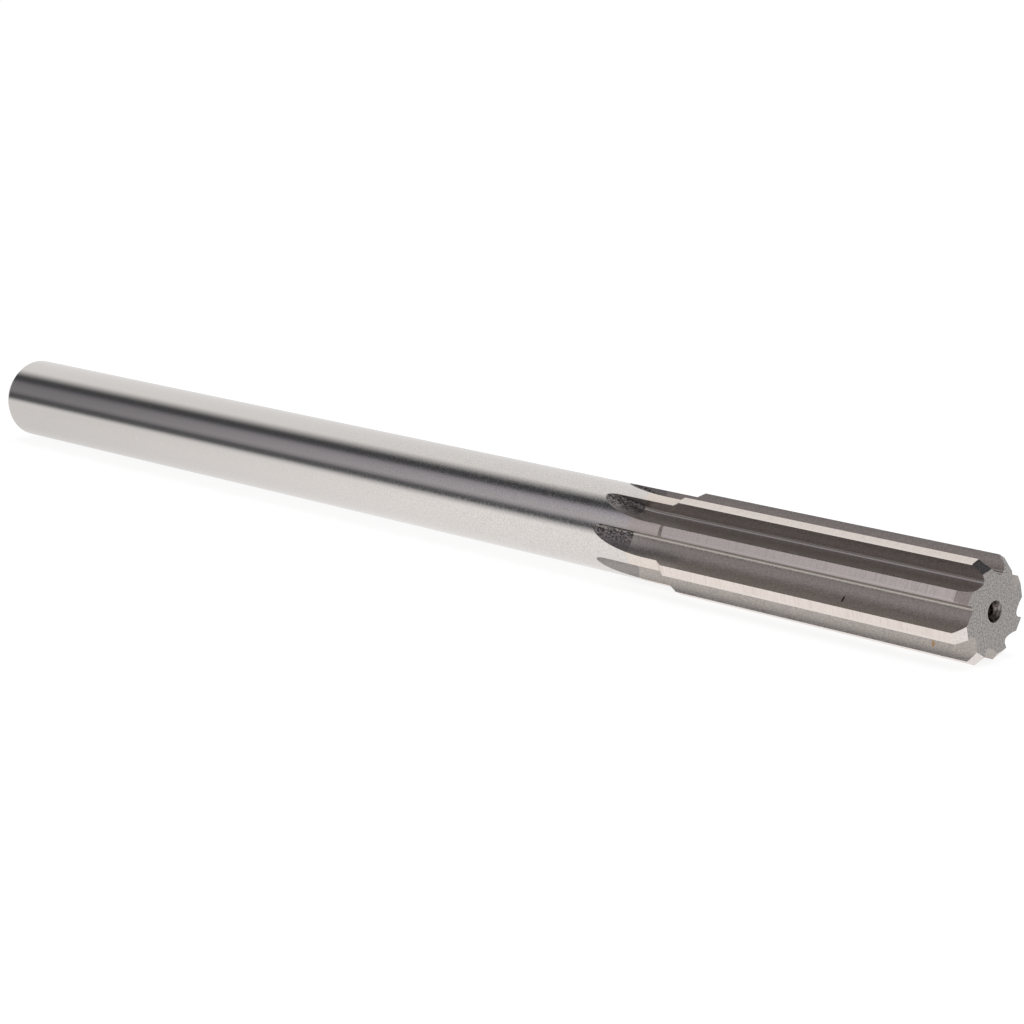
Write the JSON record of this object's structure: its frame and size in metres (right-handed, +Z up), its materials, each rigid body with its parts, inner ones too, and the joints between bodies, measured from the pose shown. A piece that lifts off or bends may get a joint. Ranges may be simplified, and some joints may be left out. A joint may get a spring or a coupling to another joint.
{
  "type": "machine reamer",
  "caption": "Straight-shank machine reamer: a long round shank and a fluted cutting head with straight teeth, a chamfered lead and centre holes in its ends, for finishing drilled holes.",
  "frame": {"origin": "on the tool's axis, at the centre of the flat cutting end face, in the mouth of its centre hole", "axes": "+X along the axis from the shank to the cutting end, the way the tool feeds; +Z up when it lies on two teeth; +Y completes the frame. It cuts when it turns by the right-hand rule about +X."},
  "size_m": [0.2286, 0.0152, 0.0152],
  "materials": {
    "tool_steel": "bright ground shank and lands, darker milled flutes"
  },
  "bodies": {
    "root": {"machine_reamer": "tool_steel"}
  },
  "joints": []
}
